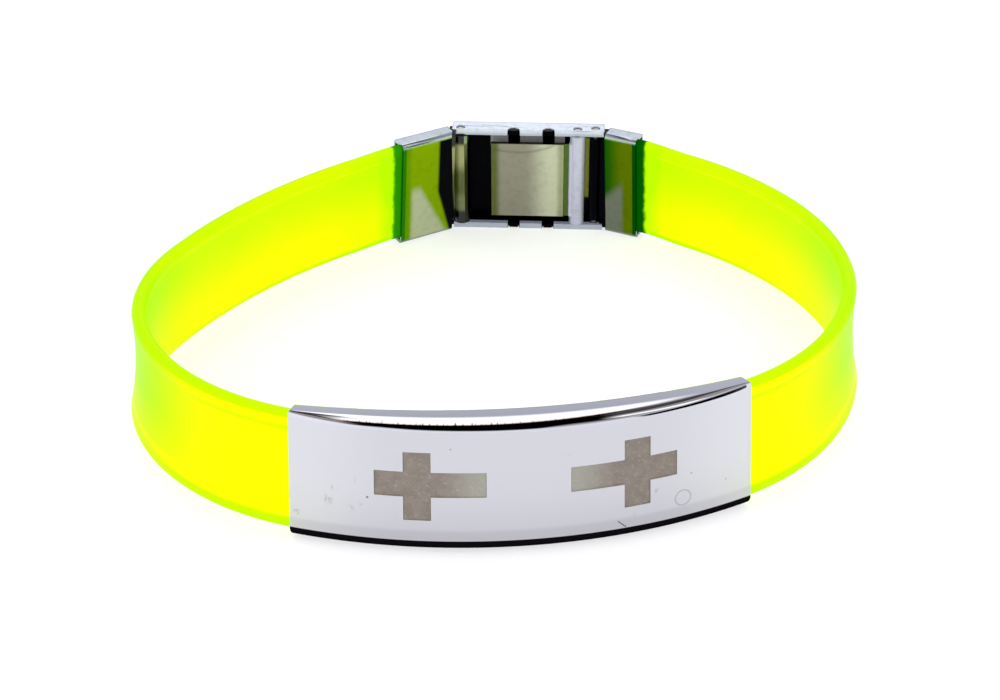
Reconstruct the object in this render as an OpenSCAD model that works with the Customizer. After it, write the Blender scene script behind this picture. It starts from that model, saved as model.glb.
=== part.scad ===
// Cross bracelet: a flat clear strap that stands on its edge in an open loop, a curved name plate with two
// etched crosses on its front, and a fold-over clasp that joins the strap's two ends at the back.
// The bracelet lies on its side: +Z up, the plate toward -Y, the floor at z = 0, the origin under the
// middle of the outline.

/* [Strap] */
// Width of the strap, from its lower to its upper edge
strap_h = 11.8; // [11:0.1:11.8]
// Thickness of the strap
strap_t = 1.4; // [1.2:0.05:1.4]
// Depth of the shallow hollow along the strap's outer face
strap_hollow = 0.4; // [0.1:0.05:0.4]
// How far the whole band leans inward at its upper edge, in degrees
lean = 5; // [3:0.5:6]

/* [Plate] */
// Length of the plate along the strap
plate_len = 42; // [36:0.5:42]
// Height of the plate
plate_h = 12.6; // [12.5:0.1:13]
// Outer face of the plate, measured out from the middle of the strap
plate_front = 1.25; // [1.1:0.05:1.4]
// Inner face of the plate at mid-length, measured in from the middle of the strap
plate_back = 2.1; // [1.9:0.1:2.6]
// Radius of the plate's inner face, flatter than its outer face
plate_back_r = 72; // [64:1:80]
// Rounding of the plate's front edges
plate_edge_r = 0.9; // [0.3:0.05:0.9]

/* [Crosses] */
// Width of each arm of a cross
cross_arm = 2.45; // [1.5:0.05:3]
// Height of a cross, which lies on its side
cross_h = 6.7; // [5:0.1:8]
// Length of the head, from the crossing to its end
cross_head = 3.8; // [3:0.1:4.5]
// Length of the foot, from the crossing to its end
cross_foot = 6.1; // [5:0.1:7]
// Distance of each crossing from the middle of the plate
cross_at = 9.6; // [8:0.1:11]
// Height of the crosses' middle above the middle of the plate
cross_up = 0.25; // [-0.5:0.05:0.5]
// Height of the crossing above a cross's own middle
crossing_up = 0.2; // [0:0.05:0.5]
// Depth to which the crosses are etched
cross_depth = 0.1; // [0.05:0.01:0.2]

/* [Clasp] */
// Length of the clasp between the bends at its two ends
cover_run = 15.7; // [15.5:0.1:16.5]
// Distance from the right bend to the mouth of the right end cap
right_reach = 5; // [4.9:0.1:8]
// Distance from the left bend to the mouth of the left end cap
left_reach = 8.3; // [7:0.1:9]
// Turn of the right end cap against the cover, in degrees
right_fold = 24; // [18:1:28]
// Turn of the left end cap against the cover, in degrees
left_fold = 35; // [28:1:38]
// Height of the cover
cover_h = 12.8; // [12.6:0.1:12.8]
// Height of the end caps
cap_h = 12.6; // [12.4:0.1:12.6]
// Thickness of an end cap
cap_t = 2.2; // [2.1:0.1:2.5]
// Thickness of the clasp's sheet metal
sheet = 0.7; // [0.5:0.05:0.7]
// Radius of the hinge pins
pin_r = 0.4; // [0.3:0.05:0.45]

/* [Hidden] */
$fn = 96;

// Clearance between pieces that slide over or turn in each other
gap = 0.05;
// How far a cutting shape runs past the face that it cuts
over = 1;

// The plate and the strap inside it follow one arc
plate_run = 21;
plate_turn = 24.5;
plate_r = plate_run / (plate_turn * PI / 180);
plate_half = plate_len / 2 / plate_r * 180 / PI;

// The clasp's parts, measured out from the middle of the band: the cover's outer and inner faces and the edge
// of its side walls. The cover runs a little past the bends, and each end cap stops short of its bend.
cover_out = 1.35;
cover_in = cover_out - sheet;
cover_wall = -0.9;
right_past = 0.5;
left_past = 0.85;
right_clear = 1.2;
left_clear = 1.6;
metal_edge_r = 0.5;

// Height of the band's middle, with the plate's inner lower edge on the floor
mid_z = plate_h / 2 * cos(lean) + plate_back * sin(lean);
// Height of the space between the cover's side walls that the rolls fill
bay_h = cover_h - 2 * sheet - 2 * gap;

// The hinges, as [distance from the right bend, depth into the loop from the middle of the band, radius of the
// knuckle or roll that turns on the pin, its height]
ALONG = 0;
INTO = 1;
ROLL_R = 2;
ROLL_H = 3;
right_hinge = [0.5, 0.1, 0.65, 10.6];
left_hinge = [15.6, 0.35, 0.95, bay_h];
blade_hinge = [2.5, 0.35, 0.85, bay_h];

// Places in the clasp, as distances from the right bend
blade_from = 4;
blade_to = 12.2;
blade_h = 9.4;
tab_at = 7.7;
tab_w = 3.9;
notch_r = 0.65;

// The loop seen from above, travelled anticlockwise from the middle of the plate. Each row is one stretch:
// its length in mm and its turn in degrees. A bend has no length, and a straight stretch has no turn. The turn
// that the plate, the cover's heading and the bends leave is shared out evenly on each side.
RUN = 0;
TURN = 1;
cover_heading = 170.5;
side_stretches = 4;
side_turn_r = (cover_heading - plate_turn - right_fold) / side_stretches;
side_turn_l = (360 - cover_heading - plate_turn - left_fold) / side_stretches;
RIGHT_CLOSING = 4;
RIGHT_CAP = 5;
COVER = 7;
LEFT_CAP = 9;
LEFT_CLOSING = 10;
open_loop = [
    [plate_run, plate_turn],
    [13.7, side_turn_r],
    [15.6, side_turn_r],
    [16.2, side_turn_r],
    [0, side_turn_r],
    [right_reach, 0],
    [0, right_fold],
    [cover_run, 0],
    [0, left_fold],
    [left_reach, 0],
    [0, side_turn_l],
    [12.3, side_turn_l],
    [13.4, side_turn_l],
    [13.9, side_turn_l],
    [plate_run, plate_turn]
];

// Way covered by one millimetre of a stretch that starts at a heading and turns evenly
function way(heading, turn) =
    turn == 0
        ? [cos(heading), sin(heading)]
        : 180 / PI / turn * [sin(heading + turn) - sin(heading), cos(heading) - cos(heading + turn)];
function heading(rows, i) = i == 0 ? 0 : heading(rows, i - 1) + rows[i - 1][TURN];
function start(rows, i) =
    i == 0
        ? [0, 0]
        : start(rows, i - 1) + rows[i - 1][RUN] * way(heading(rows, i - 1), rows[i - 1][TURN]);

// The two stretches beside the end caps get the lengths that bring the loop back to its start
missed = start(open_loop, len(open_loop));
right_way = way(heading(open_loop, RIGHT_CLOSING), side_turn_r);
left_way = way(heading(open_loop, LEFT_CLOSING), side_turn_l);
right_run = -cross(missed, left_way) / cross(right_way, left_way);
left_run = -cross(missed, right_way) / cross(left_way, right_way);
loop = [
    for (i = [0 : len(open_loop) - 1])
        i == RIGHT_CLOSING ? [right_run, side_turn_r]
        : i == LEFT_CLOSING ? [left_run, side_turn_l]
        : open_loop[i]
];

// Point of the loop's middle line where it heads in a given direction, inside a given stretch
function point_heading(i, way_to) =
    start(loop, i) + loop[i][RUN] * (way_to - heading(loop, i)) / loop[i][TURN]
        * way(heading(loop, i), way_to - heading(loop, i));
function stretch_heading(way_to, i = 0) =
    heading(loop, i + 1) > way_to ? i : stretch_heading(way_to, i + 1);

// How far a leaning piece with rounded edges spreads outward from the middle of the band
function spread(height, outer, r) = (height / 2 - r) * sin(lean) + (outer - r) * cos(lean) + r;
strap_spread = spread(strap_h, strap_t / 2, strap_t / 2);
plate_spread = spread(plate_h, plate_front, plate_edge_r);
cover_spread = spread(cover_h, cover_out, metal_edge_r);

// The outline's middle, which becomes the origin
right_x = point_heading(stretch_heading(90), 90)[0] + strap_spread;
left_x = point_heading(stretch_heading(270), 270)[0] - strap_spread;
back_y = start(loop, LEFT_CAP)[1] + left_past * sin(cover_heading) - cover_spread * cos(cover_heading);
middle = [(right_x + left_x) / 2, (back_y - plate_spread) / 2];

// Puts a shape at the start of a stretch: x along the band, y into the loop, z up
module at(i) {
    place = start(loop, i) - middle;
    translate([place[0], place[1], 0]) rotate(heading(loop, i)) children();
}

// Stands a section, drawn as [outward, upward] about the middle of the band, in the band's lean
module leaning() {
    translate([0, mid_z]) rotate(lean) children();
}

// Sweeps such a section straight on, along x
module straight(run) {
    rotate([90, 0, 90]) linear_extrude(run) mirror([1, 0]) leaning() children();
}

// Leans a solid that is built about the middle of the band, with y into the loop
module leaned() {
    translate([0, 0, mid_z]) rotate([-lean, 0, 0]) children();
}

// A bar of the section's own height with round corners on its outer side, or on both sides
module rounded_bar(inner, outer, height, r, both = false) {
    inside = both ? inner + r : inner;
    translate([inside, -height / 2]) square([outer - r - inside, height]);
    translate([inner, -height / 2 + r]) square([outer - inner, height - 2 * r]);
    for (end = [-1, 1]) translate([outer - r, end * (height / 2 - r)]) circle(r);
    if (both) for (end = [-1, 1]) translate([inner + r, end * (height / 2 - r)]) circle(r);
    if (!both) translate([inner, -height / 2]) square([r, height]);
}

// The strap's section, as [outward, upward] points: a flat bar with round edges and a shallow hollow down its
// outer face, listed from the inner side round by the lower edge
edge_r = strap_t / 2;
edge_at = strap_h / 2 - edge_r;
strap_section = [
    for (turn = [180 : 36 : 360]) [edge_r * cos(turn), edge_r * sin(turn) - edge_at],
    for (up = [-0.6 : 0.3 : 0.6]) [edge_r - strap_hollow * (1 - up * up), up * edge_at],
    for (turn = [0 : 36 : 180]) [edge_r * cos(turn), edge_r * sin(turn) + edge_at]
];
// The strap's stations, as [place, heading]: down the left side, through the plate and up the right side, with
// a straight end inside each cap
strap_step = 2.4;
strap_in_cap = 3.4;
function ahead(heading, distance) = distance * [cos(heading), sin(heading)];
function stations(i) =
    let (n = ceil(loop[i][RUN] / strap_step), h = heading(loop, i))
    [
        for (k = [0 : n - 1])
            let (turned = loop[i][TURN] * k / n)
            [start(loop, i) + loop[i][RUN] * k / n * way(h, turned), h + turned]
    ];
left_mouth = heading(loop, LEFT_CLOSING);
right_mouth = heading(loop, RIGHT_CAP);
strap_stations = [
    [start(loop, LEFT_CLOSING) - ahead(left_mouth, strap_in_cap), left_mouth],
    for (i = [LEFT_CLOSING : len(loop) - 1]) each stations(i),
    for (i = [0 : RIGHT_CAP - 1]) each stations(i),
    [start(loop, RIGHT_CAP), right_mouth],
    [start(loop, RIGHT_CAP) + ahead(right_mouth, strap_in_cap), right_mouth]
];
// Point of the leaning section at a station
function on_section(station, point) =
    let (out = point[0] * cos(lean) - point[1] * sin(lean), up = point[0] * sin(lean) + point[1] * cos(lean))
    [
        station[0][0] - middle[0] + out * sin(station[1]),
        station[0][1] - middle[1] - out * cos(station[1]),
        mid_z + up
    ];
module strap_slot_section() {
    square([strap_t + 2 * gap, strap_h + 2 * gap], center = true);
}
module strap() {
    around = len(strap_section);
    last = len(strap_stations) - 1;
    points = [for (station = strap_stations, point = strap_section) on_section(station, point)];
    walls = [
        for (i = [0 : last - 1], j = [0 : around - 1])
            let (a = i * around + j, b = i * around + (j + 1) % around)
            each [[a, a + around, b], [b, a + around, b + around]]
    ];
    ends = [
        [for (j = [0 : around - 1]) j],
        [for (j = [around - 1 : -1 : 0]) last * around + j]
    ];
    color([0.8, 1, 0.1, 0.8]) polyhedron(points, concat(walls, ends));
}

// Sweeps a section about the plate's own centre, evenly to both sides of its middle
module plate_sweep(half_turn) {
    translate([0, plate_r]) rotate(-90 - half_turn)
        rotate_extrude(angle = 2 * half_turn, $fn = 360) translate([plate_r, 0]) leaning() children();
}
// Outline of one cross on its side, with its head toward +x
module cross_outline() {
    square([cross_arm, cross_h], center = true);
    translate([-cross_foot, crossing_up - cross_arm / 2]) square([cross_foot + cross_head, cross_arm]);
}
module cross_pockets() {
    cross_turn = cross_at / plate_r * 180 / PI;
    pocket_floor = plate_front - cross_depth;
    difference() {
        for (side = [0, 1]) mirror([side, 0, 0])
            translate([0, plate_r]) rotate(cross_turn) translate([0, -plate_r, mid_z + cross_up])
                rotate([90, 0, 0]) linear_extrude(plate_front + over) cross_outline();
        plate_sweep(plate_half) translate([-over, -plate_h]) square([over + pocket_floor, 2 * plate_h]);
    }
}
// Leaning cylinder wall that the plate's inner face is cut to, from well below the plate to well above it
module plate_back_face() {
    reach = 2 * plate_h;
    translate([0, plate_back + plate_back_r, mid_z - reach])
        cylinder(2 * reach, plate_back_r + reach * tan(lean), plate_back_r - reach * tan(lean), $fn = 360);
}
module plate() {
    color("silver") at(0) difference() {
        plate_sweep(plate_half) rounded_bar(-plate_back - over, plate_front, plate_h, plate_edge_r);
        plate_back_face();
        plate_sweep(plate_half + over) strap_slot_section();
        cross_pockets();
    }
}

// An upright round bar in the clasp, at a hinge or another place given as [ALONG, INTO]
module upright(place, r, height) {
    at(COVER) leaned() translate([place[ALONG], place[INTO], -height / 2]) cylinder(height, r, r);
}
// Rolls a metal piece round its hinge pin
module rolled(hinge) {
    color("silver") difference() {
        union() {
            children();
            upright(hinge, hinge[ROLL_R], hinge[ROLL_H]);
        }
        upright(hinge, pin_r + gap, cover_h);
    }
}

// An end cap: a flattened sleeve for the strap's end, with a tongue that reaches for its hinge near x = 0
module cap_sleeve(reach, clear, tongue_in) {
    tongue_t = 0.7;
    tongue_h = 10.6;
    difference() {
        union() {
            translate([clear, 0, 0]) straight(reach - clear)
                rounded_bar(-cap_t / 2, cap_t / 2, cap_h, metal_edge_r, both = true);
            translate([-tongue_in, 0, 0]) straight(clear + tongue_in + tongue_t)
                square([tongue_t, tongue_h], center = true);
        }
        translate([reach - strap_in_cap - gap, 0, 0]) straight(strap_in_cap + over) strap_slot_section();
    }
}
module right_end_cap() {
    rolled(right_hinge) at(RIGHT_CAP) translate([right_reach, 0, 0]) mirror([1, 0, 0])
        cap_sleeve(right_reach, right_clear, right_hinge[ALONG]);
}
module left_end_cap() {
    rolled(left_hinge) at(LEFT_CAP) cap_sleeve(left_reach, left_clear, 0);
}

// The cover: a channel with its open side toward the wrist, and a snap tab between two notches in each wall
module clasp_cover() {
    color("silver") difference() {
        at(COVER) translate([-right_past, 0, 0]) straight(right_past + cover_run + left_past) difference() {
            rounded_bar(cover_wall, cover_out, cover_h, metal_edge_r);
            translate([cover_wall - over, -cover_h / 2 + sheet])
                square([cover_in - cover_wall + over, cover_h - 2 * sheet]);
        }
        for (side = [-1, 1]) upright([tab_at + side * tab_w / 2, -cover_wall], notch_r, cover_h + over);
        for (hinge = [right_hinge, left_hinge, blade_hinge]) upright(hinge, pin_r + gap, cover_h + over);
    }
}

// The inner blade: the plate that shows from inside the loop, rolled round its pin at its right end
module inner_blade() {
    face_in = 0.95;
    blade_t = 0.5;
    groove_d = 0.2;
    groove_at = blade_hinge[ALONG] + blade_hinge[ROLL_R];
    rolled(blade_hinge) at(COVER) leaned() difference() {
        translate([blade_hinge[ALONG], face_in - blade_t, -blade_h / 2])
            cube([blade_to - blade_hinge[ALONG], blade_t, blade_h]);
        translate([groove_at, face_in - groove_d, -bay_h]) cube([blade_from - groove_at, over, 2 * bay_h]);
    }
}

module pin(hinge) {
    pin_short = 0.15;
    color("gray") upright(hinge, pin_r, cover_h - 2 * pin_short);
}

strap();
plate();
right_end_cap();
left_end_cap();
clasp_cover();
inner_blade();
pin(right_hinge);  // right_cap_pin
pin(left_hinge);  // left_cap_pin
pin(blade_hinge);  // inner_blade_pin
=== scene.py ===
"""Cross bracelet: a flat clear strap, a plate with two etched crosses and a fold-over clasp."""

import cmath
import math
from typing import NamedTuple

import bpy
import numpy as np
from bpy.props import FloatProperty, FloatVectorProperty, PointerProperty
from bpy.types import Operator, Panel, PropertyGroup
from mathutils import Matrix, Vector


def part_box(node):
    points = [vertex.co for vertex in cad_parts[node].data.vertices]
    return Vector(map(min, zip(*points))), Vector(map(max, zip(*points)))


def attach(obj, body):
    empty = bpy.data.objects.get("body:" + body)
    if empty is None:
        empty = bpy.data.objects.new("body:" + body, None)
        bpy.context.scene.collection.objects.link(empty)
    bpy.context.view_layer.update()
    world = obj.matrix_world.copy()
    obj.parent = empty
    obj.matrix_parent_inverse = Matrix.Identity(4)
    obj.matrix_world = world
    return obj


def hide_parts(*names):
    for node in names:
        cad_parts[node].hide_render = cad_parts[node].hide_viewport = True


bl_info = {
    "name": "Cross Bracelet",
    "version": (1, 0, 0),
    "blender": (4, 5, 0),
    "location": "View3D > Sidebar > Bracelet",
    "description": "A flat clear strap bracelet with an etched metal plate and a fold-over clasp",
    "category": "Add Mesh",
}

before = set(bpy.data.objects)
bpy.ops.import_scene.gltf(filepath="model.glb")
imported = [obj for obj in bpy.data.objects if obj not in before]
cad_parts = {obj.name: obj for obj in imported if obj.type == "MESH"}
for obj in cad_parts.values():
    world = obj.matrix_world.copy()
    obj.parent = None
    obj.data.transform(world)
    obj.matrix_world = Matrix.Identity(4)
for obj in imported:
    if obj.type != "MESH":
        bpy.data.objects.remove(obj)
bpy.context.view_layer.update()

MM = 0.001
ROOT = "root"

# The band, in mm and degrees. Its middle line is travelled anticlockwise from the plate's middle

LEAN = math.radians(5)
PLATE_RUN = 21.0
PLATE_TURN = 24.5
PLATE_RADIUS = PLATE_RUN / math.radians(PLATE_TURN)
# The plate's inner face: how far in from the middle line it is at the plate's middle, and its radius
PLATE_BACK = 2.1
PLATE_BACK_RADIUS = 72.0
SLOT_GAP = 0.05
SLOT_CORNER = 0.35
STRAP_IN_CAP = 3.4
# How far each of the four curved stretches on a side turns
RIGHT_TURN = 30.5
LEFT_TURN = 32.5
# Step of the points that give the middle line's width
FINE_STEP = 0.2


class Stretch(NamedTuple):
    """One stretch of the band, seen from above: its length and its turn."""

    run: float
    turn: float


# A run of None closes the loop
STRETCHES = {
    "plate_right": Stretch(PLATE_RUN, PLATE_TURN),
    "right_front": Stretch(13.7, RIGHT_TURN),
    "right_side": Stretch(15.6, RIGHT_TURN),
    "right_back": Stretch(16.2, RIGHT_TURN),
    "right_closing": Stretch(None, RIGHT_TURN),
    "right_cap": Stretch(5.0, 0),
    "right_bend": Stretch(0, 24),
    "cover": Stretch(15.7, 0),
    "left_bend": Stretch(0, 35),
    "left_cap": Stretch(8.3, 0),
    "left_closing": Stretch(None, LEFT_TURN),
    "left_back": Stretch(12.3, LEFT_TURN),
    "left_side": Stretch(13.4, LEFT_TURN),
    "left_front": Stretch(13.9, LEFT_TURN),
    "plate_left": Stretch(PLATE_RUN, PLATE_TURN),
}
# The strap goes from the left cap's mouth through the plate to the right cap's
NAMES = list(STRETCHES)
STRAP_PATH = NAMES[NAMES.index("left_closing") :] + NAMES[: NAMES.index("right_cap")]


def way(heading, turn):
    """Mean step of a stretch that sets out in a heading and turns evenly, as a complex number."""
    if not turn:
        return cmath.rect(1, heading)
    return (cmath.rect(1, heading + turn) - cmath.rect(1, heading)) / (1j * turn)


def cross(a, b):
    """Cross product of two plane vectors that are written as complex numbers."""
    return (a.conjugate() * b).imag


def closed_runs():
    """Every stretch's run, with those that close the loop worked out."""
    heading = 0.0
    missed = 0j
    closing = {}
    for name, stretch in STRETCHES.items():
        turn = math.radians(stretch.turn)
        step = way(heading, turn)
        if stretch.run is None:
            closing[name] = step
        else:
            missed += stretch.run * step
        heading += turn
    (right, right_way), (left, left_way) = closing.items()
    runs = {name: stretch.run for name, stretch in STRETCHES.items()}
    runs[right] = -cross(missed, left_way) / cross(right_way, left_way)
    runs[left] = -cross(missed, right_way) / cross(left_way, right_way)
    return runs


RUNS = closed_runs()


class Station(NamedTuple):
    """A place on the middle line: its point, its heading and its distance from the plate's middle."""

    point: complex
    heading: float
    along: float


def starts():
    """Station at the start of every stretch. On the left side the distance is negative."""
    found = {}
    point, heading, along = 0j, 0.0, 0.0
    for name, stretch in STRETCHES.items():
        found[name] = Station(point, heading, along)
        turn = math.radians(stretch.turn)
        point += RUNS[name] * way(heading, turn)
        heading += turn
        along += RUNS[name]
    whole = along
    for name, station in found.items():
        if name.startswith(("left", "plate_left")):
            found[name] = station._replace(along=station.along - whole)
    return found


STARTS = starts()


def station_on(name, share):
    """Station at a share of a stretch's length."""
    start = STARTS[name]
    turned = math.radians(STRETCHES[name].turn) * share
    run = RUNS[name] * share
    point = start.point + run * way(start.heading, turned)
    return Station(point, start.heading + turned, start.along + run)


def ahead(station, distance):
    """Station straight on from another one, in its heading."""
    point = station.point + cmath.rect(distance, station.heading)
    return Station(point, station.heading, station.along + distance)


def path_stations(names, step):
    """Stations along some stretches, at most a step apart."""
    found = []
    for name in names:
        count = max(1, math.ceil(RUNS[name] / step))
        found += [station_on(name, k / count) for k in range(count)]
    return [*found, station_on(names[-1], 1)]


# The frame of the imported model: the origin under the middle of the outline


def in_mm(length):
    """A length property's value in mm."""
    return length / MM


class Place(NamedTuple):
    """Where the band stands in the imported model's frame."""

    middle: complex
    mid_z: float


def find_place(plate):
    """The band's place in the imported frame, from the middle line's width and the plate's box."""
    xs = [station.point.real for station in path_stations(STRAP_PATH, FINE_STEP)]
    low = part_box("plate")[0]
    half = in_mm(plate.height) / 2
    radius = in_mm(plate.edge_radius)
    # How far the leaning plate with its rounded edges reaches outward from the middle line
    level = (in_mm(plate.front) - radius) * math.cos(LEAN)
    reach = (half - radius) * math.sin(LEAN) + level + radius
    middle = complex((min(xs) + max(xs)) / 2, -reach - in_mm(low.y))
    return Place(middle, half * math.cos(LEAN) + PLATE_BACK * math.sin(LEAN))


def stand(place, station, section):
    """Points of a section, given as rows of [outward, up], where it stands leaning at a station."""
    out, up = np.asarray(section, float).T
    level = out * math.cos(LEAN) - up * math.sin(LEAN)
    height = out * math.sin(LEAN) + up * math.cos(LEAN)
    point = station.point - place.middle
    x = point.real + level * math.sin(station.heading)
    y = point.imag - level * math.cos(station.heading)
    return np.stack([x, y, place.mid_z + height], axis=1)


# Settings


def kind_of_setting(kind, **options):
    """A maker of settings of one kind, each from a name, a description and a default."""

    def setting(name, description, default):
        return kind(name=name, description=description, default=default, **options)

    return setting


Length = kind_of_setting(FloatProperty, unit="LENGTH", subtype="DISTANCE")
Point = kind_of_setting(FloatVectorProperty, unit="LENGTH", subtype="TRANSLATION")
Angle = kind_of_setting(FloatProperty, subtype="ANGLE")
Strength = kind_of_setting(FloatProperty, min=0, soft_max=4, subtype="FACTOR")
Millimetres = kind_of_setting(FloatProperty, min=1)
Colour = kind_of_setting(FloatVectorProperty, min=0, max=1, subtype="COLOR")


class StrapSettings(PropertyGroup):
    """Size and colours of the strap."""

    width: Length("Width", "Width of the strap, from its lower to its upper edge", 0.0118)
    thickness: Length("Thickness", "Thickness of the strap at its edges", 0.0014)
    hollow: Length("Hollow", "Depth of the shallow hollow along the outer face", 0.0004)
    yellow: Colour("Thin colour", "Colour where light meets little of the vinyl", (0.62, 0.72, 0.0))
    green: Colour("Deep colour", "Colour where light meets much of it, as at edges", (0.28, 0.62, 0.0))
    # Painted glow: the strap's emission, which stands in for its real fluorescence and for light coming
    # through the clear vinyl
    glow: Strength("Glow", "Strength of the fluorescence", 0.45)


class PlateSettings(PropertyGroup):
    """Size and finish of the plate and its crosses."""

    length: Length("Length", "Length of the plate along the strap", 0.042)
    height: Length("Height", "Height of the plate", 0.0126)
    front: Length("Front", "Outer face, measured out from the middle of the strap", 0.00125)
    edge_radius: Length("Edge radius", "Rounding of the plate's front edges", 0.0009)
    shoulder: Length("Shoulder", "How far back the upper rounding reaches at the middle", 0.0018)
    shoulder_end: Length("Shoulder at the ends", "How far back it reaches at the ends", 0.00025)
    etch_depth: Length("Etch depth", "Depth to which the crosses are etched", 0.0001)
    metal: Colour("Metal", "Colour of the polished metal", (0.62, 0.625, 0.672))
    etched: Colour("Etched", "Colour of the etched crosses", (0.215, 0.185, 0.155))


class ClaspSettings(PropertyGroup):
    """Finish of the clasp."""

    metal: Colour("Metal", "Colour of the cover and the end caps", (0.45, 0.46, 0.48))
    blade: Colour("Blade", "Colour of the inner blade", (0.25, 0.24, 0.188))
    bevel: Length("Edge rounding", "Rounding of the sheet metal's edges", 0.00018)


class StudioSettings(PropertyGroup):
    """Camera, floor and light."""

    turn: Angle("Camera turn", "How far left of straight in front it stands", math.radians(6.86))
    elevation: Angle("Camera elevation", "How high it stands, as an angle", math.radians(30))
    distance: Length("Camera distance", "Distance from the point that it looks at", 0.205)
    target: Point("Camera target", "Point that it looks at", (-0.000364, -0.008227, 0.0062))
    lens: Millimetres("Lens", "Focal length in mm, for a sensor 36 mm wide", 75.6)
    sky: Strength("Sky strength", "Strength of the soft light from all round", 1.0)
    key: Strength("Key strength", "Strength of the large soft lamp behind the camera", 2.4)
    floor: Colour("Floor", "Colour of the floor", (0.93, 0.93, 0.94))


# Shader expressions


class Socket:
    """Output of a node, which can be written in sums, products and powers."""

    def __init__(self, shader, output):
        self.shader = shader
        self.output = output

    def __add__(self, other):
        return self.shader.math("ADD", self, other)

    __radd__ = __add__

    def __sub__(self, other):
        return self.shader.math("SUBTRACT", self, other)

    def __rsub__(self, other):
        return self.shader.math("SUBTRACT", other, self)

    def __mul__(self, other):
        return self.shader.math("MULTIPLY", self, other)

    __rmul__ = __mul__

    def __truediv__(self, other):
        return self.shader.math("DIVIDE", self, other)

    def __pow__(self, other):
        return self.shader.math("POWER", self, other)

    def __abs__(self):
        return self.shader.math("ABSOLUTE", self)

    def least(self, other):
        """The smaller of this and another value."""
        return self.shader.math("MINIMUM", self, other)

    def smooth(self, low, high):
        """0 below low and 1 above high, with a smooth step between them. Low may be above high."""
        inputs = {"Value": self, "From Min": low, "From Max": high}
        return self.shader.node("ShaderNodeMapRange", {"interpolation_type": "SMOOTHSTEP"}, inputs)

    def line(self, centre, half, soft):
        """1 within half of centre, fading out over soft."""
        return abs(self - centre).smooth(half + soft, half)

    def mix(self, a, b):
        """The colour a where this is 0 and b where it is 1."""
        settings = {"data_type": "RGBA", "clamp_factor": True}
        return self.shader.node("ShaderNodeMix", settings, {"Factor": self, 6: a, 7: b}, 2)


class Shader:
    """Node tree of a material or of the world."""

    def __init__(self, owner):
        owner.use_nodes = True
        self.tree = owner.node_tree
        self.tree.nodes.clear()

    def feed(self, socket, value):
        """Links an output to an input, or sets the input to a number or a colour."""
        if isinstance(value, Socket):
            self.tree.links.new(value.output, socket)
        elif socket.type == "RGBA" and len(value) == 3:
            socket.default_value = (*value, 1)
        else:
            socket.default_value = value

    def node(self, kind, settings=None, inputs=None, output=0):
        """Adds a node: its type, its settings, what feeds its inputs and the output to give back."""
        made = self.tree.nodes.new(kind)
        for name, value in (settings or {}).items():
            setattr(made, name, value)
        for name, value in (inputs or {}).items():
            self.feed(made.inputs[name], value)
        return Socket(self, made.outputs[output]) if made.outputs else made

    def math(self, operation, *values):
        return self.node("ShaderNodeMath", {"operation": operation}, dict(enumerate(values)))

    def scaled(self, vector, factor):
        """A colour or vector times a number."""
        inputs = {"Vector": vector, "Scale": factor}
        return self.node("ShaderNodeVectorMath", {"operation": "SCALE"}, inputs)

    def distance(self, a, b):
        """Distance between two points."""
        return self.node("ShaderNodeVectorMath", {"operation": "DISTANCE"}, {0: a, 1: b}, "Value")

    def highest(self, *values):
        found = values[0]
        for value in values[1:]:
            found = self.math("MAXIMUM", found, value)
        return found

    def split(self, vector):
        made = self.node("ShaderNodeSeparateXYZ", None, {"Vector": vector}).output.node
        return [Socket(self, output) for output in made.outputs]

    def join(self, x, y, z):
        return self.node("ShaderNodeCombineXYZ", None, {"X": x, "Y": y, "Z": z})

    def place(self):
        """Place on the object, in mm."""
        return self.scaled(self.node("ShaderNodeTexCoord", output="Object"), 1 / MM)

    def noise(self, place, scale, detail=2.0, roughness=0.5, distortion=0.0):
        """Noise from 0 to 1, at a number of waves per mm."""
        inputs = {"Vector": place, "Scale": scale, "Detail": detail, "Roughness": roughness}
        return self.node("ShaderNodeTexNoise", None, {**inputs, "Distortion": distortion})

    def bump(self, height, strength, distance):
        """Normal of a relief whose height of 1 stands for a distance in mm."""
        inputs = {"Height": height, "Strength": strength, "Distance": distance * MM}
        return self.node("ShaderNodeBump", None, inputs)

    def surface(self, **inputs):
        """Principled surface. Underscores in the names stand for spaces."""
        named = {name.replace("_", " "): value for name, value in inputs.items()}
        surface = self.node("ShaderNodeBsdfPrincipled", None, named)
        self.node("ShaderNodeOutputMaterial", None, {"Surface": surface})


class Patch(NamedTuple):
    """A soft-edged rectangle in two measures: its centre, half sizes and widths of edge."""

    centre: tuple
    half: tuple
    soft: tuple

    def mask(self, across, upward):
        """1 on the patch and 0 away from it."""
        in_width, in_height = zip(self.centre, self.half, self.soft)
        return across.line(*in_width) * upward.line(*in_height)


def painted(colour, *coats):
    """Lays coats over a colour, each a mask and the colour that shows where the mask is 1."""
    for mask, coat in coats:
        colour = mask.mix(colour, coat)
    return colour


def new_material(name):
    """A named material with an empty node tree, and that tree's shader."""
    material = bpy.data.materials.new(name)
    return material, Shader(material)


# Materials. Places on the pieces are in mm, and strengths run from 0 to 1

# Where the strap comes out of the two end caps, as distances from the plate's middle
RIGHT_MOUTH = STARTS["right_cap"].along
LEFT_MOUTH = STARTS["left_closing"].along
# Painted shade: the strap's dark green band just outside each cap's mouth, also laid on the caps'
# mouths
LEFT_MOUTH_SHADE = (0.014, 0.18, 0.0)
RIGHT_MOUTH_SHADE = (0.0, 0.062, 0.0)


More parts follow.
